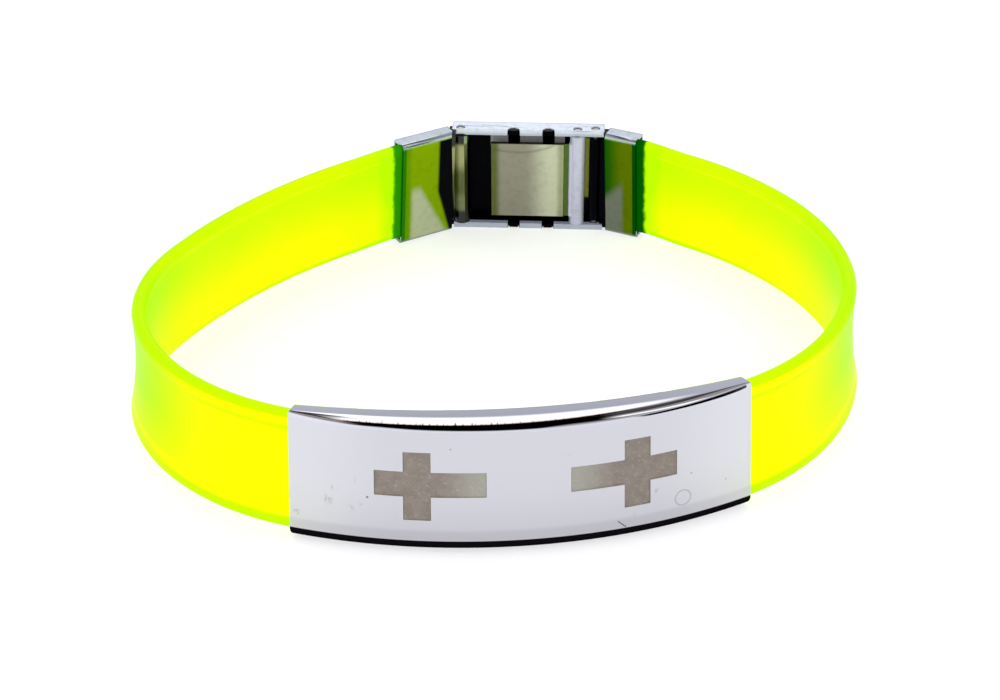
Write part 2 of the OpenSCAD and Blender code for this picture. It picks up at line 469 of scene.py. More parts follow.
def strap_material(settings):
    """Clear fluorescent vinyl, deeper green along its edges and round the loop's two sides. The deeper
    green and the brighter inner face are painted light.
    """
    material, shader = new_material("neon_vinyl")
    band = shader.node("ShaderNodeAttribute", {"attribute_name": "band"}, output="Vector")
    along, out, up = shader.split(band)
    away = abs(along)
    edge_at = in_mm(settings.width) / 2
    inner = out.smooth(0.1, -0.2)
    outer = 1 - inner
    # Painted light: the mix toward the deep green stands in for light passing through more vinyl, at
    # the edges, round the sides and up the inner face; the cloud adds random tone
    sides = abs(along + 2).smooth(23, 42) * away.smooth(84, 60) * 0.85
    upper_bead = up.smooth(edge_at - 0.62, edge_at - 0.42) * (0.75 + sides * 0.15)
    bead_top = outer * 0.4 + (1.1 - edge_at)
    lower_bead = up.smooth(bead_top, bead_top - 0.5) * (0.8 - sides * 0.35)
    dip = up.line(edge_at - 1.6, 0.1, 0.35) * (0.35 - sides * 0.25)
    light_line = up.line(edge_at - 1.1, 0.05, 0.3) * (0.15 - outer * sides * 0.1)
    light_foot = up.line(1.9 - edge_at, 0.15, 0.45) * 0.5
    rising = 0.2 + up.smooth(-3, 4.4) * 0.5 + away.smooth(66, 48) * 0.35
    to_mouth = abs(along - RIGHT_MOUTH).least(abs(along - LEFT_MOUTH))
    mouths = to_mouth.smooth(12, 3) * 0.2 + to_mouth.smooth(3.5, 1.2) * 0.5
    cloud = shader.noise(shader.place(), 0.12, 3)
    far = abs(along + 1).smooth(26, 41)
    outside = outer * far * (1 - light_foot) * (0.5 + up.smooth(-4, 1) * 0.4)
    depth = shader.highest(upper_bead, lower_bead, dip, outside, inner * rising)
    depth = depth + (cloud - 0.5) * 0.2 + inner * mouths - light_line
    # Painted light: the inner face a fifth brighter
    colour = shader.scaled(depth.mix(settings.yellow, settings.green), 1 + inner * 0.2)
    # Painted shade: the dark green band on the strap next to each cap's mouth
    ring = (to_mouth + shader.noise(shader.place(), 0.9, 2) * 0.6).smooth(1.6, 1.0)
    colour = ring.mix(colour, along.smooth(-10, 10).mix(LEFT_MOUTH_SHADE, RIGHT_MOUTH_SHADE))
    grain = shader.noise(shader.place(), 2.2, 3)
    shader.surface(
        Base_Color=colour,
        Roughness=0.26 + grain * 0.08,
        Specular_IOR_Level=0.012,
        # Painted glow: the emission stands in for the vinyl's fluorescence and for light coming through
        # it
        Emission_Color=colour,
        Emission_Strength=settings.glow,
        Normal=shader.bump(shader.noise(shader.place(), 0.4, 2), 0.12, 0.05),
    )
    return material


def plate_places(shader, place):
    """Distance along the plate from its middle, height above its middle and reach outward."""
    x, y, z = shader.split(shader.place())
    centre = complex(0, PLATE_RADIUS) - place.middle
    right, front = x - centre.real, centre.imag - y
    turned = shader.math("ARCTAN2", right, front)
    up = (z - place.mid_z) / math.cos(LEAN)
    reach = (right * right + front * front) ** 0.5 - PLATE_RADIUS
    return turned * PLATE_RADIUS, up, reach + up * math.sin(LEAN)


class Mark(NamedTuple):
    """A dull mark on the plate's front: where it is, its radius and its strength."""

    along: float
    up: float
    radius: float
    strength: float


SMUDGES = (
    Mark(-20.3, -3.5, 0.5, 0.45),
    Mark(-17.4, -1.8, 0.8, 0.35),
    Mark(-16.8, -0.5, 0.5, 0.3),
    Mark(-15.4, -2.4, 0.6, 0.3),
    Mark(-15.0, 0.5, 0.45, 0.25),
    Mark(-14.5, -1.8, 0.5, 0.3),
    Mark(8.7, 4.1, 0.7, 0.2),
    Mark(11.4, -2.0, 0.45, 0.4),
    Mark(3.2, 2.9, 0.7, 0.2),
)
SPECKS = (
    Mark(-13.9, -1.1, 0.16, 0.8),
    Mark(-6.7, 4.0, 0.12, 0.6),
    Mark(14.7, -1.0, 0.12, 0.6),
    Mark(18.2, -2.6, 0.12, 0.5),
    Mark(4.2, -5.35, 0.25, 1.0),
)
RING = Mark(13.9, -3.3, 0.75, 0.45)
# A bent scratch: the place of its bend, then how far its two legs fall or rise, and their patches
BEND = (8.55, -5.1)
LEFT_FALL = 0.95
RIGHT_RISE = 1.5
LEFT_LEG = Patch((0, -0.38), (0.03, 0.34), (0.09, 0.08))
RIGHT_LEG = Patch((0, 0.45), (0.05, 0.35), (0.3, 0.2))
# Painted reflection of dark: the ragged black line on the plate's upper rounding, measured down from
# the edge
TEETH_FROM = 0.5
TEETH_TO = 0.235
TOOTH = 0.28
# Black of the plate's real smudges and specks, and of its painted shade and reflection
SMUDGE_AND_SHADE_BLACK = (0.003, 0.002, 0.003)
# Painted shade on the rounding of the plate's lower edge
RIM_SHADE_DARK = (0.002, 0.001, 0.002)
RIM_SHADE_PALE = (0.006, 0.005, 0.007)
ETCHED_DARK = (0.165, 0.14, 0.118)
ETCHED_PALE = (0.33, 0.335, 0.285)
ETCHED_FLECK = (0.42, 0.40, 0.36)


def marks_on(shader, flat, marks, soft):
    """Sum of round marks on the plate's front, fading out over a share of their radius."""
    total = 0.0
    for mark in marks:
        away = shader.distance(flat, (mark.along, mark.up, 0))
        total = away.smooth(mark.radius, mark.radius * (1 - soft)) * mark.strength + total
    return total


def plate_material(settings, place):
    """Mirror-polished steel with fine wipe marks and smudges. Painted shade darkens its middle and low
    face and blacks the start of its lower rounding, and a painted reflection lays a ragged black line
    on its upper rounding.
    """
    material, shader = new_material("polished_steel")
    along, up, reach = plate_places(shader, place)
    flat = shader.join(along, up, 0)
    half = in_mm(settings.height) / 2
    radius = in_mm(settings.edge_radius)
    wobble = shader.noise(flat, 2.6, 4, 0.65)
    smudges = marks_on(shader, flat, SMUDGES, 0.8) * wobble.smooth(0.42, 0.6)
    specks = marks_on(shader, flat, SPECKS, 0.6)
    from_ring = shader.distance(flat, (RING.along, RING.up, 0))
    ring = from_ring.line(RING.radius, 0.02, 0.1) * RING.strength
    past = along - BEND[0]
    above = up - BEND[1]
    left_leg = LEFT_LEG.mask(above + past * LEFT_FALL, past)
    scratch = left_leg + RIGHT_LEG.mask(above - past * RIGHT_RISE, past) * 0.25
    marks = (smudges + specks + ring + scratch) * reach.smooth(0.9, 1.1)
    # Painted shade: darker low on the face and toward its middle
    low = up.smooth(-3.9, -4.4) * (1 - up.smooth(-4.9, -5.2) * 0.5)
    shade = low * 0.12 + up.smooth(0, -4) * 0.03 + abs(along).smooth(20, 11) * 0.09
    # Painted reflection of dark: ragged black teeth on the upper rounding
    tooth = shader.noise(shader.join(along, 0, 0), 3.6, 4, 0.8)
    tip = tooth.smooth(0.5, 0.72) * TOOTH + (half - TEETH_TO)
    teeth = up.smooth(tip + 0.03, tip) * up.smooth(half - TEETH_FROM, half - TEETH_FROM + 0.1)
    teeth = teeth * abs(along + 4).smooth(13, 10) * reach.smooth(0.5, 0.6)
    # Painted shade: black where the lower rounding starts
    foot = up.smooth(0.3 - half + radius, 0.2 - half + radius)
    dark = shader.highest(marks * 0.85, shade, teeth, foot)
    wipes = shader.noise(shader.join(along * 0.15, up * 1.5, 0), 1.2, 4)
    shader.surface(
        Base_Color=dark.mix(settings.metal, SMUDGE_AND_SHADE_BLACK),
        Metallic=1.0,
        Roughness=0.05 + wipes * 0.04 + marks * 0.25,
    )
    return material


def rim_material():
    """Painted shade: dull black, finely mottled, on the rounding of the plate's lower edge."""
    material, shader = new_material("shaded_edge")
    scale = shader.noise(shader.place(), 3, 4)
    shader.surface(
        Base_Color=scale.mix(RIM_SHADE_DARK, RIM_SHADE_PALE),
        Roughness=0.6 + scale * 0.2,
        Specular_IOR_Level=0.0,
        Normal=shader.bump(scale, 0.2, 0.02),
    )
    return material


def etched_material(settings, place):
    """Matte etched steel: taupe and finely mottled, and paler toward the plate's middle."""
    material, shader = new_material("etched_steel")
    along, up, _ = plate_places(shader, place)
    flat = shader.join(along, up, 0)
    blotches = shader.noise(flat, 1.1, 4, 0.65)
    flecks = shader.noise(shader.join(along + up * 0.8, up - along * 0.3, 0), 2.6, 5, 0.75, 0.6)
    colour = painted(
        settings.etched,
        (blotches.smooth(0.4, 0.62) * 0.6, ETCHED_DARK),
        (abs(along).smooth(8.1, 4.0) * 0.7, ETCHED_PALE),
        (flecks.smooth(0.52, 0.74) * 0.55, ETCHED_FLECK),
    )
    grain = shader.noise(flat, 9, 3)
    shader.surface(
        Base_Color=colour,
        Metallic=0.3,
        Roughness=0.5 + grain * 0.15,
        Normal=shader.bump(grain, 0.4, 0.02),
    )
    return material


# Measures of the clasp, from the right bend and from the middle of the band
TAB_AT = 7.7
TAB_WIDTH = 3.9
COVER_IN = 0.65
COVER_WALL = -0.9
BAY_HALF = 5.7
NOTCH_RADIUS = 0.65
NOTCH_HALF = 0.62
ROLL_END = 3.4
# Where the cover's inside is painted a lit olive, beside the blade's roll
BESIDE_ROLL = Patch((1.5, 0.9), (0.5, 3.7), (0.1, 0.3))
# The left cap's roll and the strip beside it, where light and shade are painted: each a centre, a half
# width and a soft edge
CAP_ROLL = (14.9, 0.35, 0.05)
CAP_STRIP = (15.85, 0.62, 0.06)
# How much less the metal mirrors where it is lit
LIT_DULLS = 0.85

# Painted shadow for the clasp's dark insides, gaps and notches
SHADOW = (0.002, 0.002, 0.003)
# Painted light on the cover: its rims and top, and greys and olive where its inside shows light
COVER_RIM = (0.43, 0.46, 0.55)
COVER_TOP = (0.58, 0.63, 0.72)
OVER_BLADE = (0.24, 0.23, 0.25)
COVER_LIP = (0.2, 0.22, 0.27)
ROLL_SIDE = (0.13, 0.135, 0.025)
# Painted light and shade on the blade: brighter and olive reflections toward its right end, shade
# toward its left end and in the gap beside the roll, and a pale highlight on the roll
BLADE_BRIGHT = (0.50, 0.51, 0.38)
BLADE_OLIVE = (0.30, 0.32, 0.19)
BLADE_DARK = (0.10, 0.12, 0.035)
BLADE_LINE = (0.10, 0.07, 0.045)
BLADE_GAP = (0.01, 0.03, 0.008)
BLADE_EDGE = (0.04, 0.04, 0.035)
BLADE_EDGE_RIGHT = (0.075, 0.12, 0.03)
ROLL_PALE = (0.45, 0.435, 0.60)
# Painted light and shade on the caps: a bluish top, a darker foot, and lit and shaded tones on the left
# cap's strip and roll
CAP_TOP = (0.43, 0.48, 0.54)
CAP_FOOT = (0.22, 0.24, 0.21)
STRIP_LOW = (0.065, 0.08, 0.012)
STRIP_HIGH = (0.265, 0.265, 0.115)
STRIP_FOOT = (0.14, 0.155, 0.07)
CAP_ROLL_LOW = (0.02, 0.025, 0.006)
CAP_ROLL_HIGH = (0.09, 0.10, 0.04)
CAP_ROLL_TOP = (0.25, 0.26, 0.29)


def band_places(shader, place, station):
    """Distance ahead of a station, reach outward and height above the band's middle."""
    x, y, z = shader.split(shader.place())
    start = station.point - place.middle
    right, far = x - start.real, y - start.imag
    cos, sin = math.cos(station.heading), math.sin(station.heading)
    level = right * sin - far * cos
    height = z - place.mid_z
    out = level * math.cos(LEAN) + height * math.sin(LEAN)
    up = height * math.cos(LEAN) - level * math.sin(LEAN)
    return right * cos + far * sin, out, up


def sheet_metal(shader, tone, lit=None):
    """Polished sheet metal of a tone, with fine handling marks. Where it is lit it mirrors less."""
    wear = shader.noise(shader.place(), 1.4, 5, 0.65)
    dull = wear.smooth(0.45, 0.75)
    shader.surface(
        Base_Color=shader.scaled(tone, 1 - dull * 0.15),
        Metallic=1 - lit * LIT_DULLS if lit else 1.0,
        Roughness=0.15 + wear * 0.12,
        Normal=shader.bump(shader.noise(shader.place(), 6, 3), 0.08, 0.02),
    )


def plain_material(name, tone):
    """Sheet metal of one tone."""
    material, shader = new_material(name)
    sheet_metal(shader, tuple(tone))
    return material


def cover_material(settings, place):
    """Bright outside, with painted shadow inside and in the notches, painted light on greys and olive
    inside the channel, and painted light on its lighter rims and top.
    """
    material, shader = new_material("clasp_steel")
    along, out, up = band_places(shader, place, STARTS["cover"])
    inside = out.smooth(COVER_IN + 0.1, COVER_IN + 0.02) * abs(up).smooth(BAY_HALF + 0.1, BAY_HALF)
    off_notches = 1 - abs(along - TAB_AT).line(TAB_WIDTH / 2, NOTCH_HALF, 0.1)
    over_blade = along.line(8.1, 4.1, 0.15) * up.smooth(3.5, 3.9)
    lip = out.smooth(-0.25, -0.45) * up.smooth(-5.0, -5.5)
    # Painted shadow in the channel, with painted light over the blade, at the lower lip and beside the
    # roll; where lit, the metal mirrors less
    shadow_paint = painted(
        SHADOW,
        (over_blade * off_notches, OVER_BLADE),
        (lip * off_notches, COVER_LIP),
        (BESIDE_ROLL.mask(along, up), ROLL_SIDE),
    )
    # Painted shadow in the notches
    notches = []
    for side in (-1, 1):
        notch = (TAB_AT + side * TAB_WIDTH / 2, COVER_WALL, 0)
        away = shader.distance(shader.join(along, out, 0), notch)
        notches.append(away.smooth(NOTCH_RADIUS + 0.08, NOTCH_RADIUS + 0.02))
    # Painted light on the rims and the top
    tone = painted(
        settings.metal,
        (out.smooth(-0.7, -0.85), COVER_RIM),
        (up.smooth(5.9, 6.2), COVER_TOP),
        (inside, shadow_paint),
        (shader.highest(*notches) * up.smooth(6.3, 6.2), SHADOW),
    )
    sheet_metal(shader, tone, shader.highest(over_blade, lip) * off_notches * inside)
    return material


def blade_material(settings, place):
    """Satin grey-beige blade with a curved line. Painted reflections make it brighter toward its right
    end and olive by the roll, painted shade darkens its left end and the gap beside the roll, and the
    pale roll is a painted highlight.
    """
    material, shader = new_material("blade_steel")
    along, out, up = band_places(shader, place, STARTS["cover"])
    curve = up - 3.6 - (along - 9.2) ** 2 * 0.06
    roll = along.smooth(ROLL_END + 0.06, ROLL_END)
    edge = out.smooth(-0.85, -0.75) * (1 - roll)
    # Painted reflections and shade, and a painted highlight on the roll, which mirrors less
    tone = painted(
        settings.blade,
        (along.smooth(8.6, 5.4), BLADE_BRIGHT),
        (along.smooth(5.0, 4.3), BLADE_OLIVE),
        (along.smooth(11.0, 11.8), BLADE_DARK),
        (curve.line(0, 0.06, 0.2) * 0.3, BLADE_LINE),
        (along.line(ROLL_END + 0.3, 0.25, 0.08), BLADE_GAP),
        (roll, ROLL_PALE),
        (edge, along.smooth(5.4, 4.6).mix(BLADE_EDGE, BLADE_EDGE_RIGHT)),
    )
    sheet_metal(shader, tone, roll)
    return material


class CapLook(NamedTuple):
    """Painted look of an end cap's inner face. Depths are from its mouth, heights from the band's
    middle.

    A painted reflection of the strap goes from one green near the mouth to another at a depth. Below a
    sloping line, and past a depth, it gives way to a painted grey. Past another depth there is painted
    shadow, whose outline leans toward the lower edge. The cap's body ends at the last depth, and its
    tongue goes on. The mouth's ring is the dark green band of painted shade.
    """

    ring: tuple
    near: tuple
    reflected_green: tuple
    reflected_green_at: float
    lower_grey: tuple
    lower_grey_past: float
    meets: float
    slope: float
    meets_at_most: float
    shadow: float
    shadow_lean: float
    ends: float


LEFT_LOOK = CapLook(
    ring=LEFT_MOUTH_SHADE,
    near=(0.12, 0.27, 0.0),
    reflected_green=(0.20, 0.336, 0.0),
    reflected_green_at=1.4,
    lower_grey=(0.42, 0.46, 0.29),
    lower_grey_past=1.2,
    meets=4.5,
    slope=1.85,
    meets_at_most=0.2,
    shadow=4.6,
    shadow_lean=0.3,
    ends=6.7,
)
RIGHT_LOOK = CapLook(
    ring=RIGHT_MOUTH_SHADE,
    near=(0.093, 0.15, 0.0),
    reflected_green=(0.007, 0.09, 0.001),
    reflected_green_at=3.7,
    lower_grey=(0.146, 0.165, 0.123),
    lower_grey_past=1.65,
    meets=1.85,
    slope=0.95,
    meets_at_most=0.6,
    shadow=4.1,
    shadow_lean=0.1,
    ends=3.8,
)


def cap_material(side, look, settings, place):
    """Polished cap with a painted green reflection of the vinyl on its inner face, painted shadow
    toward its hinge, and painted light and shade on its rims, strip and roll.
    """
    material, shader = new_material(f"{side}_cap_steel")
    along, out, up = band_places(shader, place, STARTS[f"{side}_cap"])
    # The left cap is travelled from its hinge to its mouth
    deep = abs(along - (RUNS["left_cap"] if side == "left" else 0.0))
    # Painted reflection of the strap's greens on the inner face, with a painted grey below a sloping
    # line
    meets = (look.meets - deep * look.slope).least(look.meets_at_most)
    lower_grey = (up - meets).smooth(0.9, -0.7) * deep.smooth(look.lower_grey_past - 0.3, look.lower_grey_past + 0.3)
    face = painted(
        look.near,
        (deep.smooth(look.reflected_green_at * 0.4, look.reflected_green_at), look.reflected_green),
        (lower_grey, look.lower_grey),
        (deep.smooth(0.5, 0.35), look.ring),
    )
    # Painted shadow toward the hinge and past the body's end
    past = deep + (up + 0.6).least(0) * look.shadow_lean
    shadow = past.smooth(look.shadow - 0.2, look.shadow + 0.25)
    shadow = shadow * out.smooth(0.3, 0.0) * up.smooth(5.9, 5.7)
    beyond = deep.smooth(look.ends - 0.1, look.ends - 0.05)
    # Painted light and shade on the left cap's strip and roll
    strip = painted(
        up.smooth(0.6, 2.6).mix(STRIP_LOW, STRIP_HIGH),
        (up.smooth(-1.2, -2.6) * 0.8, STRIP_FOOT),
        (abs(up - 0.3).smooth(4.0, 4.6), SHADOW),
    )
    roll = up.smooth(1.5, 4.2).mix(CAP_ROLL_LOW, CAP_ROLL_HIGH)
    roll = up.smooth(4.5, 4.9).mix(roll, CAP_ROLL_TOP)
    cover_along, cover_out, _ = band_places(shader, place, STARTS["cover"])
    before = cover_out.smooth(0.2, 0.0)
    on_strip = cover_along.line(*CAP_STRIP) * before
    # Painted light on the top and the foot; the strip is painted lit, so there it mirrors less
    tone = painted(
        settings.metal,
        (out.smooth(-0.85, -1.0), face),
        (up.smooth(5.7, 6.0), CAP_TOP),
        (up.smooth(-5.7, -6.1), CAP_FOOT),
        (shader.highest(shadow, beyond), SHADOW),
        (cover_along.line(*CAP_ROLL) * before, roll),
        (on_strip, strip),
    )
    sheet_metal(shader, tone, on_strip)
    return material


# How dark the floor's fibres are
FIBRE_SHADE = 0.97


def floor_material(settings):
    """Plain white paper."""
    material, shader = new_material("floor_paper")
    fibre = shader.noise(shader.place(), 0.6, 3)
    colour = (fibre * 0.15).mix(settings.floor, [FIBRE_SHADE * c for c in settings.floor])
    shader.surface(Base_Color=colour, Roughness=0.9, Specular_IOR_Level=0.0)
    return material


# Mesh helpers


def new_piece(name, points, faces, *materials):
    """A mesh object from points in mm, smooth but for its sharp edges."""
    mesh = bpy.data.meshes.new(name)
    mesh.from_pydata([tuple(point) for point in np.asarray(points) * MM], [], faces)
    for material in materials:
        mesh.materials.append(material)
    mesh.validate()
    mesh.shade_smooth()
    piece = bpy.data.objects.new(name, mesh)
    bpy.context.scene.collection.objects.link(piece)
    return piece


def tube_faces(count, around):
    """Faces of a closed tube of rings, with a flat face at each end."""
    faces = []
    for i in range(count - 1):
        for j in range(around):
            a, b = i * around + j, i * around + (j + 1) % around
            faces.append((a, a + around, b + around, b))
    last = (count - 1) * around
    return [*faces, tuple(range(around)), tuple(range(last + around - 1, last - 1, -1))]


def sharpen(piece, degrees):
    """Keeps edges sharper than an angle sharp."""
    piece.data.set_sharp_from_angle(angle=math.radians(degrees))


def apply_modifiers(piece):
    """Turns a piece's modifiers into its mesh."""
    graph = bpy.context.evaluated_depsgraph_get()
    made = bpy.data.meshes.new_from_object(piece.evaluated_get(graph))
    piece.modifiers.clear()
    piece.data = made


def dress(piece, slot, *nodes):
    """Lets a piece ride on the bracelet in place of CAD nodes."""
    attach(piece, ROOT)
    if nodes:
        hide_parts(*nodes)
    return piece


# Strap

STRAP_STEP = 0.6
# How far the strap hangs inside the plate, and at most in the loop's left and right back
SAG = 0.1
LEFT_SAG = 0.2
RIGHT_SAG = 0.4
# Where the plate's sag ends, and the stretches over which the other starts and the end cap stops it
SAG_END = 2 * PLATE_RUN
SAG_STARTS_OVER = 10
SAG_STOPS_OVER = 6
BEAD_STEPS = 10
FACE_STEPS = 26
CREASE_DEPTH = 0.02
CREASE_HALF = 0.3
CREASE_FROM_EDGE = 1.5


def strap_section(settings):
    """The strap's section as [outward, up]: a bar with round edges and a hollow outer face."""
    half_t = in_mm(settings.thickness) / 2
    edge_at = in_mm(settings.width) / 2 - half_t
    hollow = in_mm(settings.hollow)
    crease_at = in_mm(settings.width) / 2 - CREASE_FROM_EDGE

    def crease(up):
        return CREASE_DEPTH * math.exp(-(((abs(up) - crease_at) / CREASE_HALF) ** 2))

    def bead(centre, first):
        turns = np.radians(np.linspace(first, first + 180, BEAD_STEPS + 1))
        return [(half_t * math.cos(turn), centre + half_t * math.sin(turn)) for turn in turns]

    ups = np.linspace(-edge_at, edge_at, FACE_STEPS + 1)[1:-1]
    outer = [(half_t - hollow * (1 - (up / edge_at) ** 2) - crease(up), up) for up in ups]
    inner = [(-half_t + crease(up), up) for up in ups[::-1]]
    return np.array([*bead(-edge_at, 180), *outer, *bead(edge_at, 0), *inner])


def ease(value, low, high):
    """0 at low and 1 at high, with a smooth step between them."""
    share = min(1.0, max(0.0, (value - low) / (high - low)))
    return share * share * (3 - 2 * share)


def sag(station):
    """How far up the soft strap is at a station: below 0 at the plate and at the back."""
    away = abs(station.along)
    mouth, back = (RIGHT_MOUTH, RIGHT_SAG) if station.along > 0 else (-LEFT_MOUTH, LEFT_SAG)
    hanging = ease(away, SAG_END, SAG_END + SAG_STARTS_OVER) * ease(away, mouth, mouth - SAG_STOPS_OVER)
    return -SAG * max(0.0, 1 - (away / SAG_END) ** 2) - back * hanging


class BRACELET_OT_strap(Operator):
    """Builds the clear vinyl strap"""

    bl_idname = "bracelet.strap"
    bl_label = "Strap"
    bl_options = {"REGISTER", "UNDO"}

    def execute(self, context):
        settings = context.scene.bracelet_strap
        place = find_place(context.scene.bracelet_plate)
        stations = path_stations(STRAP_PATH, STRAP_STEP)
        stations = [ahead(stations[0], -STRAP_IN_CAP), *stations, ahead(stations[-1], STRAP_IN_CAP)]
        section = strap_section(settings)
        straight_up = np.array([math.sin(LEAN), math.cos(LEAN)])
        hung = [stand(place, station, section + sag(station) * straight_up) for station in stations]
        faces = tube_faces(len(stations), len(section))
        strap = new_piece("neon_strap", np.concatenate(hung), faces, strap_material(settings))
        band = [(station.along, out, up) for station in stations for out, up in section]
        attribute = strap.data.attributes.new("band", "FLOAT_VECTOR", "POINT")
        attribute.data.foreach_set("vector", np.array(band, np.float32).ravel())
        sharpen(strap, degrees=50)
        dress(strap, "neon_strap", "strap")
        return {"FINISHED"}


# Plate

ARC_STEPS = 20
EDGE_STEPS = 4
BACK_STEPS = 10
END_STEPS = 4
ALONG_STEP = 0.45
UP_STEP = 0.5
END_RADIUS = 0.2
BACK_EDGE = 0.5
SHOULDER_LEAST = 0.08
# How many steps of the lower rounding stay polished; the rest take the painted shade
RIM_FROM = 1
# Width of the etched crosses' walls
WALL = 0.04
# How far the slot's cutter stands out of the plate's ends, and its number of sections
CUTTER_PAST = 2
CUTTER_SECTIONS = 101
# Finishes of the plate's faces: polished, etched, and painted shade on the lower rounding
POLISHED, ETCHED, BLACK = range(3)

# A cross on its side: width of its arms, its height, its reach to both sides of the crossing, the
# crossing's distance from the plate's middle, and how high the cross and its long arm are
CROSS_ARM = 2.45
CROSS_HEIGHT = 6.7
CROSS_HEAD = 3.8
CROSS_FOOT = 6.1
CROSS_AT = 9.6
CROSS_UP = 0.25
CROSSING_UP = 0.2


class Box(NamedTuple):
    """A rectangle on the plate's front."""

    left: float
    right: float
    low: float
    high: float


def cross_boxes(front):
    """The four arms of the two crosses, as rectangles on the plate's front."""
    middle = (CROSS_UP - front * math.sin(LEAN)) / math.cos(LEAN)
    half_arm = CROSS_ARM / 2
    boxes = []
    for side in (-1, 1):
        for left, right, up, half in (
            (-half_arm, half_arm, 0, CROSS_HEIGHT / 2),
            (-CROSS_FOOT, CROSS_HEAD, CROSSING_UP, half_arm),
        ):
            ends = []
            for end in (left, right):
                turned = CROSS_AT / PLATE_RADIUS + math.asin(end / (PLATE_RADIUS + front))
                ends.append(side * turned * PLATE_RADIUS)
            half = half / math.cos(LEAN)
            boxes.append(Box(min(ends), max(ends), middle + up - half, middle + up + half))
    return boxes


def lines_between(low, high, step, edges):
    """Grid lines from low to high at most a step apart, with a pair of lines at each edge."""
    fixed = sorted({low, high, *edges, *(edge + WALL for edge in edges)})
    lines = [low]
    for a, b in zip(fixed, fixed[1:]):
        count = max(1, math.ceil((b - a) / step - 0.01))
        lines += [a + (b - a) * k / count for k in range(1, count + 1)]
    return np.array(lines)


def inside_any(boxes, along, up):
    """Whether a point lies within one of the boxes."""
    slack = 1e-6
    return any(
        box.left - slack <= along <= box.right + slack and box.low - slack <= up <= box.high + slack
        for box in boxes
    )


class PlateSection(NamedTuple):
    """Measures of the plate's section at one place."""

    front: float
    half: float
    radius: float
    shoulder: float
    back: float


def quarter(steps):
    """Cosines and sines over a quarter turn."""
    turns = np.radians(np.linspace(0, 90, steps + 1))
    return list(zip(np.cos(turns), np.sin(turns)))


def plate_ring(measures, front_lines, inset):
    """Section of the plate's outside as [outward, up], drawn in by an inset."""
    front, half, radius = measures.front - inset, measures.half - inset, measures.radius - inset
    squeeze = (half - radius) / (measures.half - measures.radius)
    shoulder = max(measures.shoulder - inset, SHOULDER_LEAST)
    edge = BACK_EDGE * (1 - inset / END_RADIUS / 2)
    inner = measures.back + inset
    top = half - max(0.0, measures.radius - measures.shoulder) * math.tan(LEAN)
    upper = radius - half + top
    points = [(front, up * squeeze) for up in front_lines]
    points += [(front - shoulder * (1 - c), top - upper * (1 - s)) for c, s in quarter(ARC_STEPS)[1:]]
    points += [(inner + edge * (1 - s), top - edge * (1 - c)) for c, s in quarter(EDGE_STEPS)]
    points += [(inner, up) for up in np.linspace(top - edge, edge - half, BACK_STEPS + 1)[1:-1]]
    points += [(inner + edge * (1 - c), edge - half - edge * s) for c, s in quarter(EDGE_STEPS)]
    points += [(front - radius * (1 - s), radius * (1 - c) - half) for c, s in quarter(ARC_STEPS)[:-1]]
    return points


def plate_back(turned):
    """How far out the plate's inner face is at an angle from the plate's middle."""
    offset = PLATE_BACK + PLATE_BACK_RADIUS - PLATE_RADIUS
    reach = math.sqrt(PLATE_BACK_RADIUS**2 - (offset * math.sin(turned)) ** 2)
    return reach - offset * math.cos(turned) - PLATE_RADIUS


def plate_station(along):
    """Station on the plate's arc."""
    turned = along / PLATE_RADIUS
    return Station(along * way(0, turned), turned, along)


def build_plate(settings, place):
    """The plate's points and faces, which points the crosses sink, and how many make a ring."""
    front = in_mm(settings.front)
    half = in_mm(settings.height) / 2
    radius = in_mm(settings.edge_radius)
    depth = in_mm(settings.etch_depth)
    half_length = in_mm(settings.length) / 2
    boxes = cross_boxes(front)
    reach = half - radius
    edges_up = {round(value, 4) for box in boxes for value in (box.low, box.high - WALL)}
    edges_along = {round(value, 4) for box in boxes for value in (box.left, box.right - WALL)}
    front_lines = lines_between(-reach, reach, UP_STEP, edges_up)
    main = lines_between(END_RADIUS - half_length, half_length - END_RADIUS, ALONG_STEP, edges_along)
    ends = [END_RADIUS * s for _, s in quarter(END_STEPS)[1:]]
    stations = [(main[0] - end, end) for end in ends[::-1]]
    stations += [(along, 0.0) for along in main]
    stations += [(main[-1] + end, end) for end in ends]
    wall = WALL / 2
    sunk_boxes = [Box(b.left + wall, b.right - wall, b.low + wall, b.high - wall) for b in boxes]
    points = []
    sunk = []
    for along, past in stations:
        inset = END_RADIUS - math.sqrt(max(0.0, END_RADIUS**2 - past**2))
        station = plate_station(along)
        taper = min(1.0, abs(along) / half_length) ** 2
        shoulder = in_mm(settings.shoulder) * (1 - taper) + in_mm(settings.shoulder_end) * taper
        measures = PlateSection(front, half, radius, shoulder, plate_back(station.heading))
        ring = np.array(plate_ring(measures, front_lines, inset))
        etched = [inside_any(sunk_boxes, along, up) for up in front_lines]
        ring[: len(front_lines), 0] -= depth * np.array(etched)
        points.append(stand(place, station, ring))
        sunk.append(etched + [False] * (len(ring) - len(front_lines)))
    around = len(points[0])
    return np.concatenate(points), tube_faces(len(stations), around), np.concatenate(sunk), around


def on_rim(index, around):
    """Whether a vertex of the plate's rings lies on the rounding of the lower edge."""
    at = index % around
    return at == 0 or at >= around - ARC_STEPS + RIM_FROM


